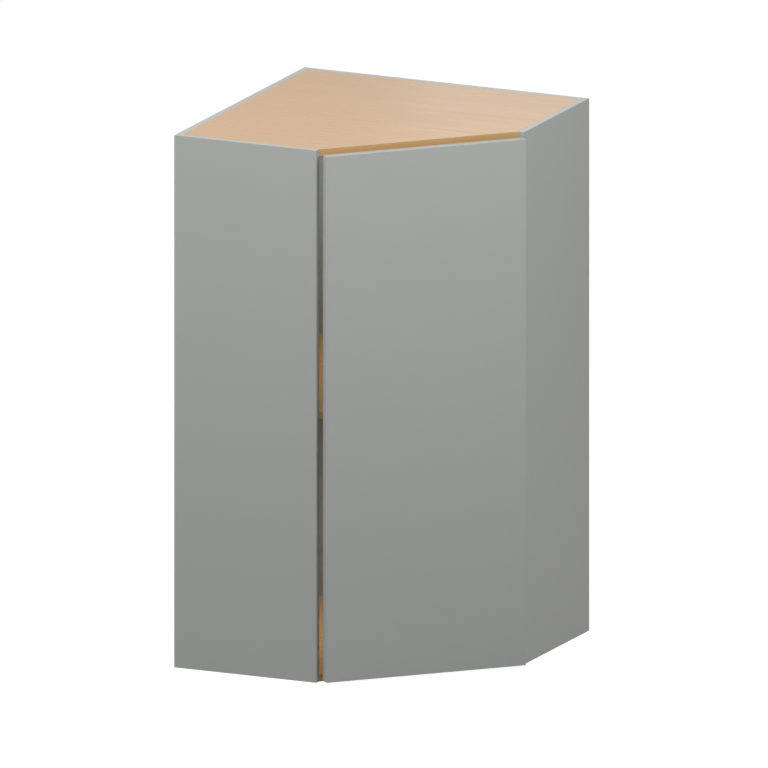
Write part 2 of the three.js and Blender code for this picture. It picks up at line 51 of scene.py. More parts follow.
VIEW_CENTRE_RIGHT = 0.00444   # metres from the origin to the middle of the picture
VIEW_CENTRE_UP = 0.51567
VIEW_DISTANCE = 4.0

camera = bpy.data.objects.new("camera", bpy.data.cameras.new("camera"))
camera.data.type = "ORTHO"
camera.data.ortho_scale = VIEW_WIDTH
turn = Matrix.Rotation(VIEW_ROUND, 4, "Z") @ Matrix.Rotation(math.pi / 2 - VIEW_UP, 4, "X")
offset = Vector((VIEW_CENTRE_RIGHT, VIEW_CENTRE_UP, VIEW_DISTANCE))
camera.matrix_world = turn @ Matrix.Translation(offset)
bpy.context.scene.collection.objects.link(camera)
bpy.context.scene.camera = camera

# ---- Side and back panels ----
# Half-inch boards, sprayed all over with a matte grey-green lacquer. The sides cover the ends of the
# backs, and their front ends are cut square. Each has one or two rows of 5 mm holes for the shelf's pegs.
MM = 0.001
PANEL_EASE = 0.4 * MM
PEG_HOLE_RADIUS = 2.5 * MM
PEG_HOLE_DEPTH = 9 * MM
PEG_COLLAR_RADIUS = 4.4 * MM
HOLE_PITCH = 32 * MM
HOLES_EACH_WAY = 2            # spare holes above and below each peg
HOLE_EASE = 0.3 * MM
HOLE_END_GAP = 0.2 * MM       # room past the end of a dowel or screw in its hole
OVERSHOOT = 1 * MM            # how far outside the surface a cutting shape starts
DOWEL_HOLE_RADIUS = 3.2 * MM
PLATE_SCREW_HOLE_RADIUS = 2.8 * MM
HINGE_LEVELS = ("lower", "middle", "upper")
EASE_SEGMENTS = 2             # flats across an eased edge
ROUND_SIDES = 32              # flats round a hole or a rod
SMOOTH_ANGLE = math.radians(50)


def linear(colour):
    """An sRGB hex colour as linear red, green, blue and alpha."""
    channels = [int(colour[i:i + 2], 16) / 255 for i in (1, 3, 5)]
    return [c / 12.92 if c <= 0.04045 else ((c + 0.055) / 1.055) ** 2.4 for c in channels] + [1.0]


def add_node(tree, kind, inputs=None, **settings):
    """A new node with its settings. Each input is a value, or an output to link to it."""
    node = tree.nodes.new(kind)
    for name, value in settings.items():
        setattr(node, name, value)
    for name, value in (inputs or {}).items():
        if isinstance(value, bpy.types.NodeSocket):
            tree.links.new(value, node.inputs[name])
        else:
            node.inputs[name].default_value = value
    return node


def new_material(name):
    """An empty material, and its node tree."""
    material = bpy.data.materials.new(name)
    material.use_nodes = True
    tree = material.node_tree
    tree.nodes.clear()
    return material, tree


def per_mm(size):
    """A texture's scale for a pattern whose features are this many millimetres across."""
    return 1 / (size * MM)


def sprayed_lacquer(name, light, dark):
    """Matte two-part lacquer, sprayed: an even colour with a faint drift, and a fine orange peel."""
    material, tree = new_material(name)
    place = add_node(tree, "ShaderNodeTexCoord").outputs["Object"]
    drift = add_node(tree, "ShaderNodeTexNoise", {"Vector": place, "Scale": per_mm(90), "Detail": 3.0})
    peel = add_node(tree, "ShaderNodeTexNoise", {"Vector": place, "Scale": per_mm(2.2), "Detail": 2.0})
    colour = add_node(tree, "ShaderNodeMix", {
        "Factor": drift.outputs["Fac"], "A": linear(light), "B": linear(dark),
    }, data_type="RGBA")
    rough = add_node(tree, "ShaderNodeMapRange", {
        "Value": peel.outputs["Fac"], "From Min": 0.3, "From Max": 0.7, "To Min": 0.36, "To Max": 0.44,
    })
    bump = add_node(tree, "ShaderNodeBump", {
        "Height": peel.outputs["Fac"], "Strength": 0.25, "Distance": 0.05 * MM,
    })
    paint = add_node(tree, "ShaderNodeBsdfPrincipled", {
        "Base Color": colour.outputs["Result"], "Roughness": rough.outputs["Result"], "IOR": 1.5,
        "Normal": bump.outputs["Normal"],
    })
    add_node(tree, "ShaderNodeOutputMaterial", {"Surface": paint.outputs["BSDF"]})
    return material


case_lacquer = sprayed_lacquer("matte_lacquer_on_case_boards", "#a9aba8", "#a6a9a5")


def new_object(name, mesh_data):
    """The mesh as an object in the scene."""
    made = bpy.data.objects.new(name, mesh_data)
    bpy.context.scene.collection.objects.link(made)
    return made


def applied(piece):
    """Makes what the piece's modifiers do to its mesh permanent."""
    bpy.context.view_layer.update()
    evaluated = piece.evaluated_get(bpy.context.evaluated_depsgraph_get())
    result = bpy.data.meshes.new_from_object(evaluated)
    piece.modifiers.clear()
    piece.data = result


def shade(piece):
    """Smooth eased edges and round parts, with the large faces kept flat to the eye."""
    for face in piece.data.polygons:
        face.use_smooth = True
    piece.data.set_sharp_from_angle(angle=SMOOTH_ANGLE)
    normals = piece.modifiers.new("normals", "WEIGHTED_NORMAL")
    normals.keep_sharp = True
    normals.weight = 100
    applied(piece)


def board(name, outline, bottom, top, ease):
    """A flat board with this outline, its edges eased by a light sanding."""
    bm = bmesh.new()
    lower = [bm.verts.new((x, y, bottom)) for x, y in outline]
    upper = [bm.verts.new((x, y, top)) for x, y in outline]
    bm.faces.new(list(reversed(lower)))
    bm.faces.new(upper)
    for i in range(len(outline)):
        j = (i + 1) % len(outline)
        bm.faces.new((lower[i], lower[j], upper[j], upper[i]))
    bmesh.ops.bevel(
        bm, geom=list(bm.edges), offset=ease, segments=EASE_SEGMENTS, profile=0.5, affect="EDGES",
    )
    mesh_data = bpy.data.meshes.new(name)
    bm.to_mesh(mesh_data)
    bm.free()
    return new_object(name, mesh_data)


def turned(name, profile, sides, place, flute=0):
    """A turned solid: profile points are (radius, distance along Z), from the axis round to the axis.

    Every other side line is drawn in by the flute, which is a share of the radius.
    """
    bm = bmesh.new()
    rings = []
    for radius, height in profile:
        if radius == 0:
            rings.append([bm.verts.new((0, 0, height))])
            continue
        ring = []
        for k in range(sides):
            angle = 2 * math.pi * k / sides
            reach = radius * (1 - flute * (k % 2))
            ring.append(bm.verts.new((reach * math.cos(angle), reach * math.sin(angle), height)))
        rings.append(ring)
    for inner, outer in zip(rings, rings[1:]):
        for k in range(sides):
            m = (k + 1) % sides
            corners = [
                inner[k % len(inner)], outer[k % len(outer)],
                outer[m % len(outer)], inner[m % len(inner)],
            ]
            bm.faces.new(list(dict.fromkeys(corners)))
    bmesh.ops.recalc_face_normals(bm, faces=list(bm.faces))
    mesh_data = bpy.data.meshes.new(name)
    bm.to_mesh(mesh_data)
    bm.free()
    mesh_data.transform(place)
    return new_object(name, mesh_data)


def aimed(at, way):
    """The place of a turned piece whose foot is at this point, and which runs along the way."""
    aim = Vector((0, 0, 1)).rotation_difference(way).to_matrix().to_4x4()
    return Matrix.Translation(at) @ aim


def bit(radius, depth, mouth, inwards):
    """The shape that a drill with a small countersink takes out of a board."""
    profile = [
        (0, -OVERSHOOT), (radius + HOLE_EASE, -OVERSHOOT), (radius + HOLE_EASE, 0),
        (radius, HOLE_EASE), (radius, depth), (0, depth),
    ]
    return turned("bit", profile, ROUND_SIDES, aimed(mouth, inwards))


def cut(piece, tools):
    """Cuts the tools out of the piece, and clears them away."""
    for tool in tools:
        step = piece.modifiers.new("cut", "BOOLEAN")
        step.operation = "DIFFERENCE"
        step.solver = "EXACT"
        step.object = tool
    applied(piece)
    for tool in tools:
        bpy.data.objects.remove(tool)
    return piece


def seat(piece, body, nodes, slot_name, *materials):
    """Gives the piece its finish, and puts it in the place of its CAD nodes."""
    shade(piece)
    piece.data.materials.clear()
    for material in materials:
        piece.data.materials.append(material)
    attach(piece, body)
    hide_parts(*nodes)


def middle(node):
    """The middle of a CAD node's box."""
    low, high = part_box(node)
    return (low + high) / 2


INTO_LEFT_SIDE = Vector((0, -1, 0))
INTO_RIGHT_SIDE = Vector((1, 0, 0))
INTO_LEFT_BACK = Vector((-1, 0, 0))
INTO_RIGHT_BACK = Vector((0, 1, 0))
PANEL_WAYS = {
    "left_side_panel": INTO_LEFT_SIDE,
    "right_side_panel": INTO_RIGHT_SIDE,
    "left_back_panel": INTO_LEFT_BACK,
    "right_back_panel": INTO_RIGHT_BACK,
}
PANEL_PEGS = {
    "left_side_panel": ("shelf_peg_1", "shelf_peg_2"),
    "right_side_panel": ("shelf_peg_3", "shelf_peg_4"),
    "left_back_panel": ("shelf_peg_5",),
    "right_back_panel": ("shelf_peg_6",),
}


def on_inner_face(panel, point):
    """The point moved onto the panel's inner face."""
    low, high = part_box(panel)
    way = PANEL_WAYS[panel]
    near = Vector([low[i] if way[i] > 0 else high[i] for i in range(3)])
    return point + way * (near - point).dot(way)


def peg_centre(peg):
    """The middle of a peg's round parts, from the underside of its collar, whose top is cut flat."""
    low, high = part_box(peg)
    return Vector(((low.x + high.x) / 2, (low.y + high.y) / 2, low.z + PEG_COLLAR_RADIUS))


def peg_bits(panel):
    """The panel's peg holes: the ones in use, and the spare ones above and below them."""
    bits = []
    for peg in PANEL_PEGS[panel]:
        for step in range(-HOLES_EACH_WAY, HOLES_EACH_WAY + 1):
            mouth = on_inner_face(panel, peg_centre(peg) + Vector((0, 0, step * HOLE_PITCH)))
            bits.append(bit(PEG_HOLE_RADIUS, PEG_HOLE_DEPTH, mouth, PANEL_WAYS[panel]))
    return bits


def dowel_bits(panel, side):
    """The holes in a side panel for the dowels of the bottom and top panels."""
    bits = []
    for dowel in [f"{level}_{side}_dowel_{i}" for level in ("bottom", "top") for i in (1, 2)]:
        way = PANEL_WAYS[panel]
        mouth = on_inner_face(panel, middle(dowel))
        low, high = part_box(dowel)
        tip = max(low.dot(way), high.dot(way))
        depth = tip - mouth.dot(way) + HOLE_END_GAP
        bits.append(bit(DOWEL_HOLE_RADIUS, depth, mouth, way))
    return bits


def plate_screw_bits():
    """The holes in the right side panel for the screws of the mounting plates."""
    bits = []
    for level in HINGE_LEVELS:
        for i in (1, 2):
            node = f"{level}_hinge_plate_screw_{i}"
            mouth = on_inner_face("right_side_panel", middle(node))
            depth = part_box(node)[1].x - mouth.x + HOLE_END_GAP
            bits.append(bit(PLATE_SCREW_HOLE_RADIUS, depth, mouth, INTO_RIGHT_SIDE))
    return bits


def box_outline(low, high):
    """The four corners, in plan, of the box between these two points."""
    return [(low.x, low.y), (high.x, low.y), (high.x, high.y), (low.x, high.y)]


for panel in PANEL_WAYS:
    low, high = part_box(panel)
    piece = board(f"{panel}_lacquered", box_outline(low, high), low.z, high.z, PANEL_EASE)
    bits = peg_bits(panel)
    if panel == "left_side_panel":
        bits += dowel_bits(panel, "left")
    if panel == "right_side_panel":
        bits += dowel_bits(panel, "right") + plate_screw_bits()
    seat(cut(piece, bits), "case", [panel], "case_paint", case_lacquer)

# ---- Top panel, bottom panel and shelf ----
# Five-sided boards faced with a satin maple-look laminate, its grain along the right back panel. Their
# front edges, which show above, below and beside the door, are taped with a strip of the same maple.
BOARD_EASE = 0.3 * MM
TO_THE_FRONT = Vector((1, -1, 0)).normalized()
TAPED_FROM = 0.9              # how squarely a face looks to the front for it to be tape


def maple_laminate(name, grain_turn, light, dark):
    """Satin maple-look laminate: close, quiet streaks along the grain, with fine darker flecks.

    The grain lies along X, and is turned about the upright axis for the tape on the diagonal front.
    """
    material, tree = new_material(name)
    place = add_node(tree, "ShaderNodeTexCoord").outputs["Object"]
    turned_place = add_node(tree, "ShaderNodeVectorRotate", {
        "Vector": place, "Axis": (0, 0, 1), "Angle": grain_turn,
    }, rotation_type="AXIS_ANGLE")
    streak_place = add_node(tree, "ShaderNodeMapping", {
        "Vector": turned_place.outputs["Vector"], "Scale": (per_mm(260), per_mm(7), per_mm(7)),
    })
    streaks = add_node(tree, "ShaderNodeTexNoise", {
        "Vector": streak_place.outputs["Vector"], "Scale": 1.0, "Detail": 5.0, "Roughness": 0.6,
    })
    figure_place = add_node(tree, "ShaderNodeMapping", {
        "Vector": turned_place.outputs["Vector"], "Scale": (per_mm(700), per_mm(90), per_mm(90)),
    })
    figure = add_node(tree, "ShaderNodeTexNoise", {
        "Vector": figure_place.outputs["Vector"], "Scale": 1.0, "Detail": 2.0, "Distortion": 0.8,
    })
    fleck_place = add_node(tree, "ShaderNodeMapping", {
        "Vector": turned_place.outputs["Vector"], "Scale": (per_mm(9), per_mm(1.1), per_mm(1.1)),
    })
    flecks = add_node(tree, "ShaderNodeTexNoise", {
        "Vector": fleck_place.outputs["Vector"], "Scale": 1.0, "Detail": 1.0,
    })
    mixed = add_node(tree, "ShaderNodeMix", {
        "Factor": 0.45, "A": streaks.outputs["Fac"], "B": figure.outputs["Fac"],
    }, data_type="FLOAT")
    spread = add_node(tree, "ShaderNodeMapRange", {
        "Value": mixed.outputs["Result"], "From Min": 0.32, "From Max": 0.68, "To Min": 0.0, "To Max": 1.0,
    })
    wood = add_node(tree, "ShaderNodeMix", {
        "Factor": spread.outputs["Result"], "A": linear(light), "B": linear(dark),
    }, data_type="RGBA")
    fleck_amount = add_node(tree, "ShaderNodeMapRange", {
        "Value": flecks.outputs["Fac"], "From Min": 0.6, "From Max": 0.76, "To Min": 0.0, "To Max": 0.055,
    })
    colour = add_node(tree, "ShaderNodeMix", {
        "Factor": fleck_amount.outputs["Result"], "A": wood.outputs["Result"], "B": linear("#93693c"),
    }, data_type="RGBA")
    rough = add_node(tree, "ShaderNodeMapRange", {
        "Value": streaks.outputs["Fac"], "From Min": 0.3, "From Max": 0.7, "To Min": 0.26, "To Max": 0.34,
    })
    bump = add_node(tree, "ShaderNodeBump", {
        "Height": streaks.outputs["Fac"], "Strength": 0.07, "Distance": 0.03 * MM,
    })
    laminate = add_node(tree, "ShaderNodeBsdfPrincipled", {
        "Base Color": colour.outputs["Result"], "Roughness": rough.outputs["Result"], "IOR": 1.5,
        "Normal": bump.outputs["Normal"],
    })
    add_node(tree, "ShaderNodeOutputMaterial", {"Surface": laminate.outputs["BSDF"]})
    return material


maple_face = maple_laminate("satin_maple_laminate", 0.0, "#bb9261", "#b8905e")
maple_tape = maple_laminate("maple_edge_tape", -math.pi / 4, "#c29b6a", "#be9664")


def five_sided(node):
    """The outline of a board between the four panels, from its box and the diagonal front's line."""
    low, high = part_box(node)
    left_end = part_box("left_side_panel")[1]
    right_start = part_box("right_side_panel")[0]
    play_left = low.y - left_end.y
    play_right = right_start.x - high.x
    return [
        (low.x, low.y), (left_end.x + play_left, low.y), (high.x, right_start.y - play_right),
        (high.x, high.y), (low.x, high.y),
    ]


def floor_dowel_bits(level):
    """The holes for the dowels in the ends of the top or bottom panel."""
    bits = []
    for panel, side in (("left_side_panel", "left"), ("right_side_panel", "right")):
        for i in (1, 2):
            dowel = f"{level}_{side}_dowel_{i}"
            way = PANEL_WAYS[panel]
            mouth = on_inner_face(panel, middle(dowel))
            low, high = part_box(dowel)
            root = min(low.dot(way), high.dot(way))
            depth = mouth.dot(way) - root + HOLE_END_GAP
            bits.append(bit(DOWEL_HOLE_RADIUS, depth, mouth, -way))
    return bits


for node, level in (("bottom_panel", "bottom"), ("top_panel", "top"), ("shelf", None)):
    low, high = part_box(node)
    piece = board(f"{node}_maple", five_sided(node), low.z, high.z, BOARD_EASE)
    if level:
        cut(piece, floor_dowel_bits(level))
    seat(piece, "case", [node], "maple_board", maple_face, maple_tape)
    for face in piece.data.polygons:
        face.material_index = 1 if face.normal.dot(TO_THE_FRONT) > TAPED_FROM else 0

# ---- Dowels ----
# Fluted beech dowels, glued half into a side panel and half into the end of the top or bottom panel.
DOWEL_CHAMFER = 0.8 * MM
DOWEL_FLUTES = 20
FLUTE_SHARE = 0.07            # a flute's depth, as a share of the radius


def turned_beech(name):
    """Bare beech, turned: pale pinkish brown with short darker rays along the grain."""
    material, tree = new_material(name)
    place = add_node(tree, "ShaderNodeTexCoord").outputs["Object"]
    rays = add_node(tree, "ShaderNodeTexNoise", {"Vector": place, "Scale": per_mm(1.5), "Detail": 3.0})
    colour = add_node(tree, "ShaderNodeMix", {
        "Factor": rays.outputs["Fac"], "A": linear("#d3ad82"), "B": linear("#b98d5e"),
    }, data_type="RGBA")
    beech = add_node(tree, "ShaderNodeBsdfPrincipled", {
        "Base Color": colour.outputs["Result"], "Roughness": 0.75, "IOR": 1.5,
    })
    add_node(tree, "ShaderNodeOutputMaterial", {"Surface": beech.outputs["BSDF"]})
    return material


def rod(radius, half, chamfer):
    """The profile of a round rod with chamfered ends, this far each way from its middle."""
    return [
        (0, -half), (radius - chamfer, -half), (radius, -half + chamfer),
        (radius, half - chamfer), (radius - chamfer, half), (0, half),
    ]


beech = turned_beech("bare_beech")
for level in ("bottom", "top"):
    for side, way in (("left", INTO_LEFT_SIDE), ("right", INTO_RIGHT_SIDE)):
        for i in (1, 2):
            node = f"{level}_{side}_dowel_{i}"
            low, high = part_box(node)
            half = abs((high - low).dot(way)) / 2
            radius = (high.z - low.z) / 2
            profile = rod(radius, half, DOWEL_CHAMFER)
            place = aimed(middle(node), way)
            piece = turned(f"{node}_beech", profile, 2 * DOWEL_FLUTES, place, FLUTE_SHARE)
            seat(piece, "case", [node], "beech", beech)

# ---- Shelf pegs ----
# Nickel-plated steel pegs: a shank in the panel's hole, a collar against the panel, and a peg that the
# shelf lies on. The collar's upper side is flat, so that it doesn't lift the shelf.
PEG_RADIUS = 3 * MM
PEG_LENGTH = 8 * MM
PEG_SHANK_RADIUS = 2.3 * MM
PEG_COLLAR = 1.5 * MM
PEG_EDGE = 0.35 * MM
PEG_SEAT_GAP = 0.25 * MM      # between the panel's face and the collar
PEG_SIDES = 40
TRIM_REACH = 20 * MM          # the block that cuts a collar's top flat: half its width, and its height
TRIM_HEIGHT = 10 * MM
TOOL_EASE = 0.01 * MM         # next to nothing, so that a cutting shape's edges stay sharp


def plated_steel(name, light, dark, roughness):
    """Plated steel, drawn or pressed: a soft metal sheen with hair-fine marks that break up its gloss."""
    material, tree = new_material(name)
    place = add_node(tree, "ShaderNodeTexCoord").outputs["Object"]
    cloud = add_node(tree, "ShaderNodeTexNoise", {"Vector": place, "Scale": per_mm(6), "Detail": 3.0})
    mark_place = add_node(tree, "ShaderNodeMapping", {
        "Vector": place, "Scale": (per_mm(0.35), per_mm(0.35), per_mm(5)),
    })
    marks = add_node(tree, "ShaderNodeTexNoise", {
        "Vector": mark_place.outputs["Vector"], "Scale": 1.0, "Detail": 2.0,
    })
    colour = add_node(tree, "ShaderNodeMix", {
        "Factor": cloud.outputs["Fac"], "A": linear(light), "B": linear(dark),
    }, data_type="RGBA")
    rough = add_node(tree, "ShaderNodeMapRange", {
        "Value": marks.outputs["Fac"], "From Min": 0.3, "From Max": 0.7,
        "To Min": roughness - 0.06, "To Max": roughness + 0.06,
    })
    bump = add_node(tree, "ShaderNodeBump", {
        "Height": marks.outputs["Fac"], "Strength": 0.15, "Distance": 0.01 * MM,
    })
    metal = add_node(tree, "ShaderNodeBsdfPrincipled", {
        "Base Color": colour.outputs["Result"], "Metallic": 1.0, "Roughness": rough.outputs["Result"],
        "Normal": bump.outputs["Normal"],
    })
    add_node(tree, "ShaderNodeOutputMaterial", {"Surface": metal.outputs["BSDF"]})
    return material


nickel = plated_steel("nickel_plated_steel", "#cfccc6", "#bfbcb5", 0.28)
zinc = plated_steel("zinc_plated_steel", "#c3c7c9", "#adb2b5", 0.38)

# Distances are from the panel's face, out of the board.
shank_end = PEG_SEAT_GAP - PEG_HOLE_DEPTH
collar_top = PEG_SEAT_GAP + PEG_COLLAR
peg_tip = collar_top + PEG_LENGTH
peg_profile = [
    (0, shank_end), (PEG_SHANK_RADIUS - PEG_EDGE, shank_end),
    (PEG_SHANK_RADIUS, shank_end + PEG_EDGE), (PEG_SHANK_RADIUS, PEG_SEAT_GAP),
    (PEG_COLLAR_RADIUS, PEG_SEAT_GAP), (PEG_COLLAR_RADIUS, collar_top - PEG_EDGE),
    (PEG_COLLAR_RADIUS - PEG_EDGE, collar_top), (PEG_RADIUS, collar_top),
    (PEG_RADIUS, peg_tip - PEG_EDGE), (PEG_RADIUS - PEG_EDGE, peg_tip), (0, peg_tip),
]
trim_corner = Vector((TRIM_REACH, TRIM_REACH, 0))
for panel, pegs in PANEL_PEGS.items():
    for node in pegs:
        mouth = on_inner_face(panel, peg_centre(node))
        piece = turned(f"{node}_nickel", peg_profile, PEG_SIDES, aimed(mouth, -PANEL_WAYS[panel]))
        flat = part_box(node)[1].z
        block = box_outline(mouth - trim_corner, mouth + trim_corner)
        cut(piece, [board("trim", block, flat, flat + TRIM_HEIGHT, TOOL_EASE)])
        seat(piece, "case", [node], "nickel", nickel)

# ---- Door ----
# A plain slab of medium-density fibreboard with eased edges, sprayed like the case. Three 35 mm cups and
# the cup screws' pilot holes are bored from behind, near its right-hand edge.
DOOR_EASE = 0.6 * MM
CUP_HOLE_RADIUS = 17.5 * MM
CUP_HOLE_DEPTH = 12.2 * MM
CUP_EDGE_WOOD = 4 * MM        # wood between a cup's hole and the door's edge
CUP_SCREW_HOLE_RADIUS = 1.9 * MM
CUP_SCREW_HOLE_DEPTH = 12 * MM
DOOR_TURN = math.radians(-135)
door_lacquer = sprayed_lacquer("matte_lacquer_on_door", "#aaadaa", "#a7aaa7")

# The door's own frame: X runs to the left from the case's right-hand corner, and Y runs out of the case.
corner_low, corner_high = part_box("right_side_panel")
door_corner = Matrix.Translation((corner_high.x, corner_low.y, 0))
door_frame = door_corner @ Matrix.Rotation(DOOR_TURN, 4, "Z")
to_door = door_frame.inverted()
door_points = [to_door @ v.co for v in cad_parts["door_panel"].data.vertices]
door_low = Vector([min(p[i] for p in door_points) for i in range(3)])
door_high = Vector([max(p[i] for p in door_points) for i in range(3)])
door_way = (door_frame.to_3x3() @ Vector((0, 1, 0))).normalized()

door_plan = [(door_frame @ Vector((x, y, 0))).to_2d() for x, y in box_outline(door_low, door_high)]
door = board("door_slab_lacquered", door_plan, door_low.z, door_high.z, DOOR_EASE)


def in_door(node):
    """The middle of a CAD node, in the door's own frame."""
    points = [to_door @ v.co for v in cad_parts[node].data.vertices]
    return Vector([(min(p[i] for p in points) + max(p[i] for p in points)) / 2 for i in range(3)])


cup_x = door_low.x + CUP_EDGE_WOOD + CUP_HOLE_RADIUS
door_bits = []
for level in HINGE_LEVELS:
    height = in_door(f"{level}_hinge_pin").z
    mouth = door_frame @ Vector((cup_x, door_low.y, height))
    door_bits.append(bit(CUP_HOLE_RADIUS, CUP_HOLE_DEPTH, mouth, door_way))
    for i in (1, 2):
        spot = in_door(f"{level}_hinge_cup_screw_{i}")
        mouth = door_frame @ Vector((spot.x, door_low.y, spot.z))
        door_bits.append(bit(CUP_SCREW_HOLE_RADIUS, CUP_SCREW_HOLE_DEPTH, mouth, door_way))
seat(cut(door, door_bits), "door", ["door_panel"], "door_paint", door_lacquer)

# ---- Hinges ----
# Three concealed cup hinges for a 45 degree front: a nickel-plated cup and cranked arm, and a zinc-plated
# mounting plate. Pressed sheet steel, with the edges tumbled round. Each arm hooks onto a pin in its cup.
HINGE_EDGE = 0.3 * MM
SHARP_EDGE = math.radians(35)
WELD_DISTANCE = 0.001 * MM
FLAT_ANGLE = math.radians(0.5)   # faces that turn less than this are one flat face


def pressed(node, name, width):
    """The CAD solid as a tumbled pressing: flat faces made whole, then the sharp edges rounded."""
    bm = bmesh.new()
    bm.from_mesh(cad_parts[node].data)
    bmesh.ops.remove_doubles(bm, verts=list(bm.verts), dist=WELD_DISTANCE)
    bmesh.ops.dissolve_limit(
        bm, angle_limit=FLAT_ANGLE, verts=list(bm.verts), edges=list(bm.edges),
    )
    mesh_data = bpy.data.meshes.new(name)
    bm.to_mesh(mesh_data)
    bm.free()
    piece = new_object(name, mesh_data)
    edges = piece.modifiers.new("edges", "BEVEL")
    edges.width = width
    edges.segments = EASE_SEGMENTS
    edges.limit_method = "ANGLE"
    edges.angle_limit = SHARP_EDGE
    applied(piece)
    return piece


for level in HINGE_LEVELS:
    for part, body, slot_name, metal in (
        ("cup", "door", "nickel", nickel),
        ("arm", "case", "nickel", nickel),
        ("plate", "case", "zinc", zinc),
    ):
        node = f"{level}_hinge_{part}"
        piece = pressed(node, f"{node}_pressing", HINGE_EDGE)
        seat(piece, body, [node], slot_name, metal)

    pin = in_door(f"{level}_hinge_pin")
    low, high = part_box(f"{level}_hinge_pin")
    half = (high.z - low.z) / 2
    radius = (high.x - low.x) / 2
    profile = rod(radius, half, HINGE_EDGE)
    place = Matrix.Translation(door_frame @ pin)
    piece = turned(f"{level}_hinge_pin_zinc", profile, ROUND_SIDES, place)
    seat(piece, "door", [f"{level}_hinge_pin"], "zinc", zinc)

# ---- Screws ----
# Zinc-plated steel screws with low round heads and cross recesses: two wood screws in each cup's flange,
# two stouter ones in each mounting plate, and two machine screws through each arm: the rear one locks it
# to its plate, and the front one sets the door's reveal.
CUP_SCREW = (1.7 * MM, 3.6 * MM, 1.6 * MM)         # shank radius, head radius, head height
PLATE_SCREW = (2.6 * MM, 4.3 * MM, 1.9 * MM)
ARM_SCREW = (2 * MM, 4 * MM, 2 * MM)
ADJUSTING_SCREW = (1.7 * MM, 3.3 * MM, 1.6 * MM)
POINT_LENGTH = 1.5                    # in shank radii
HEAD_STEPS = 5                        # rings from the head's crown to its rim
HEAD_CROWN, HEAD_ROUND = 0.55, 0.45   # shares of the head's radius: flat crown, round shoulder
HEAD_RIM, HEAD_DOME = 0.35, 0.65      # shares of its height: straight rim, dome above it
RECESS_DEPTH = 0.7                    # share of the head's height
RECESS_REACH = 0.55                   # shares of the head's radius
RECESS_HALF_WIDTH = 0.13
RECESS_TURN = math.radians(38)


def screw(name, shank, length, head, head_height, place):
    """Its point is along +Z and the underside of its head is at 0."""
    profile = [(0, -head_height)]
    for k in range(HEAD_STEPS + 1):
        angle = math.pi / 2 * k / HEAD_STEPS
        reach = head * (HEAD_CROWN + HEAD_ROUND * math.sin(angle))
        height = -head_height * (HEAD_RIM + HEAD_DOME * math.cos(angle))
        profile.append((reach, height))
    profile += [(head, 0), (shank, 0), (shank, length - POINT_LENGTH * shank), (0, length)]
    piece = turned(name, profile, ROUND_SIDES, place)
    far, near = head * RECESS_REACH, head * RECESS_HALF_WIDTH
    cross = [
        (far, -near), (far, near), (near, near), (near, far), (-near, far), (-near, near),
        (-far, near), (-far, -near), (-near, -near), (-near, -far), (near, -far), (near, -near),
    ]
    floor_of_recess = -head_height * (1 - RECESS_DEPTH)
    tool = board("cross", cross, -head_height - OVERSHOOT, floor_of_recess, TOOL_EASE)
    tool.data.transform(place @ Matrix.Rotation(RECESS_TURN, 4, "Z"))
    return cut(piece, [tool])


# These turn a screw from +Z to point into the door from behind, and into the right side panel.
AIM_DOOR = door_frame.to_3x3().to_4x4() @ Matrix.Rotation(-math.pi / 2, 4, "X")
AIM_SIDE = Matrix.Rotation(math.pi / 2, 4, "Z") @ Matrix.Rotation(math.pi / 2, 4, "X")


def extent_along(node, way):
    """How far along the way a CAD node starts and ends."""
    reach = [v.co.dot(way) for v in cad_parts[node].data.vertices]
    return min(reach), max(reach)


def place_screw(node, body, way, aim, size):
    """Builds the screw where its CAD node is, with its point along the way."""
    shank, head, head_height = size
    start, end = extent_along(node, way)
    middle_point = middle(node)
    underside = middle_point + way * (start + head_height - middle_point.dot(way))
    length = end - start - head_height
    place = Matrix.Translation(underside) @ aim
    piece = screw(f"{node}_zinc", shank, length, head, head_height, place)
    seat(piece, body, [node], "zinc", zinc)


for level in HINGE_LEVELS:
    hinge = f"{level}_hinge"
    for i in (1, 2):
        place_screw(f"{hinge}_cup_screw_{i}", "door", door_way, AIM_DOOR, CUP_SCREW)
        place_screw(f"{hinge}_plate_screw_{i}", "case", INTO_RIGHT_SIDE, AIM_SIDE, PLATE_SCREW)
    place_screw(f"{hinge}_arm_screw", "case", INTO_RIGHT_SIDE, AIM_SIDE, ARM_SCREW)
    place_screw(f"{hinge}_adjusting_screw", "case", INTO_RIGHT_SIDE, AIM_SIDE, ADJUSTING_SCREW)

# ---- Floor and light ----
# A plain pale floor and a white room. Large soft lamps stand in front, at both sides, above and behind,
# all of them higher than the cabinet, so that its upright faces darken towards the floor.
FLOOR_HALF = 7.0              # metres
FLOOR_DROP = 0.5 * MM
INSIDE_SPOT = (-0.05, 0.05)   # metres, in plan, for the lamps inside the case
INSIDE_DROP = 20 * MM
INSIDE_SIZE = 0.35            # metres
floor_mesh = bpy.data.meshes.new("floor")
floor_mesh.from_pydata(
    [(-FLOOR_HALF, -FLOOR_HALF, -FLOOR_DROP), (FLOOR_HALF, -FLOOR_HALF, -FLOOR_DROP),
     (FLOOR_HALF, FLOOR_HALF, -FLOOR_DROP), (-FLOOR_HALF, FLOOR_HALF, -FLOOR_DROP)],
    [], [(0, 1, 2, 3)],
)
floor = new_object("floor", floor_mesh)

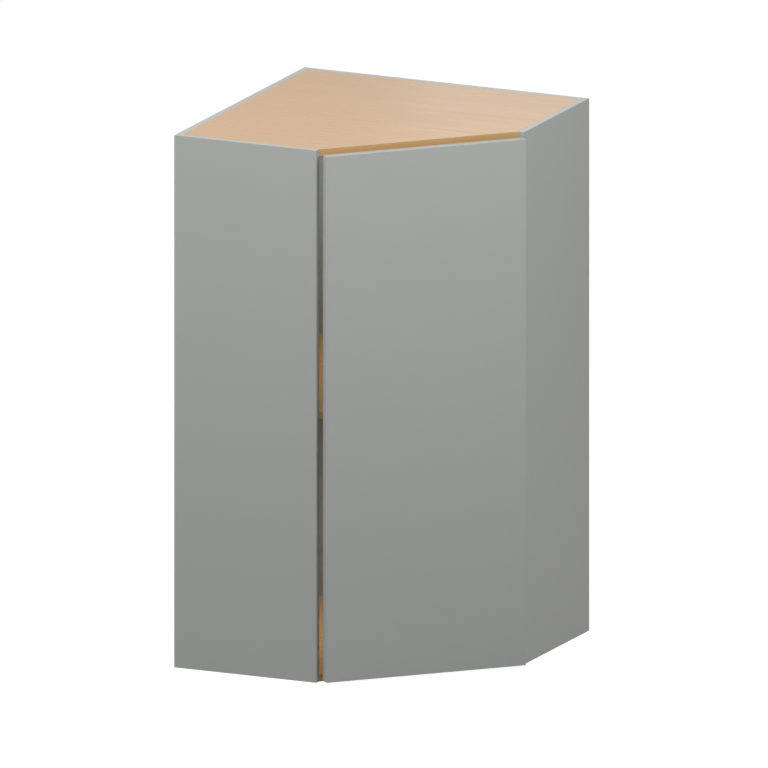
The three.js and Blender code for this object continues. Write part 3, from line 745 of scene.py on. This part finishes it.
floor_material, tree = new_material("pale_floor")
path = add_node(tree, "ShaderNodeLightPath")
seen = add_node(tree, "ShaderNodeMath", {
    0: path.outputs["Is Camera Ray"], 1: path.outputs["Is Glossy Ray"],
}, operation="MAXIMUM")
matte = add_node(tree, "ShaderNodeBsdfDiffuse", {"Color": linear("#808080")})
glow = add_node(tree, "ShaderNodeEmission", {"Color": linear("#ffffff"), "Strength": 0.95})
white = add_node(tree, "ShaderNodeAddShader", {0: matte.outputs["BSDF"], 1: glow.outputs["Emission"]})
shown = add_node(tree, "ShaderNodeMixShader", {
    0: seen.outputs["Value"], 1: matte.outputs["BSDF"], 2: white.outputs["Shader"],
})
add_node(tree, "ShaderNodeOutputMaterial", {"Surface": shown.outputs["Shader"]})
floor_mesh.materials.append(floor_material)

world = bpy.data.worlds.new("white_room")
world.use_nodes = True
bpy.context.scene.world = world
tree = world.node_tree
tree.nodes.clear()
path = add_node(tree, "ShaderNodeLightPath")
seen = add_node(tree, "ShaderNodeMath", {
    0: path.outputs["Is Camera Ray"], 1: path.outputs["Is Glossy Ray"],
}, operation="MAXIMUM")
seen = add_node(tree, "ShaderNodeMath", {
    0: seen.outputs["Value"], 1: path.outputs["Is Transmission Ray"],
}, operation="MAXIMUM")
room = add_node(tree, "ShaderNodeBackground", {"Color": linear("#ffffff"), "Strength": 0.2})
backdrop = add_node(tree, "ShaderNodeBackground", {"Color": linear("#ffffff"), "Strength": 1.0})
shown = add_node(tree, "ShaderNodeMixShader", {
    0: seen.outputs["Value"], 1: room.outputs["Background"], 2: backdrop.outputs["Background"],
})
add_node(tree, "ShaderNodeOutputWorld", {"Surface": shown.outputs["Shader"]})


def soft_lamp(name, place, aim_at, size, power, in_gloss=False):
    """A square lamp, in metres and watts.

    Only the weak rear one shows in the gloss, where a strong one would burn the top out to white.
    """
    data = bpy.data.lights.new(name, "AREA")
    data.shape = "SQUARE"
    data.size = size
    data.energy = power
    lamp = bpy.data.objects.new(name, data)
    lamp.location = place
    lamp.rotation_euler = (Vector(aim_at) - Vector(place)).to_track_quat("-Z", "Y").to_euler()
    lamp.visible_glossy = in_gloss
    bpy.context.scene.collection.objects.link(lamp)
    return lamp


soft_lamp("front_lamp", (0.2, -2.4, 2.6), (0, 0, 0.7), 1.4, 29.7)
soft_lamp("left_lamp", (-2.6, -1.3, 2.3), (0, 0, 0.8), 1.4, 48.8)
soft_lamp("right_lamp", (2.1, -1.1, 2.5), (0.1, 0, 0.7), 1.4, 43.8)
soft_lamp("top_lamp", (-0.5, -0.2, 2.9), (-0.1, 0, 0.7), 1.6, 5.9)
soft_lamp("rear_lamp", (-0.35, 2.7, 1.75), (0.1, 0.1, 1.07), 1.6, 3.27, in_gloss=True)
soft_lamp("back_lamp", (-2.4, 1.8, 1.9), (0, 0, 0.6), 1.4, 24.0)

# A weak lamp under the top panel and one under the shelf keep the inside from going black.
for node, power, spread in (("top_panel", 1.22, 180), ("shelf", 0.89, 115)):
    place = (*INSIDE_SPOT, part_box(node)[0].z - INSIDE_DROP)
    inside = soft_lamp(f"lamp_under_{node}", place, (*INSIDE_SPOT, 0), INSIDE_SIZE, power)
    inside.data.spread = math.radians(spread)
    inside.visible_camera = False

bpy.context.scene.view_settings.view_transform = "Standard"
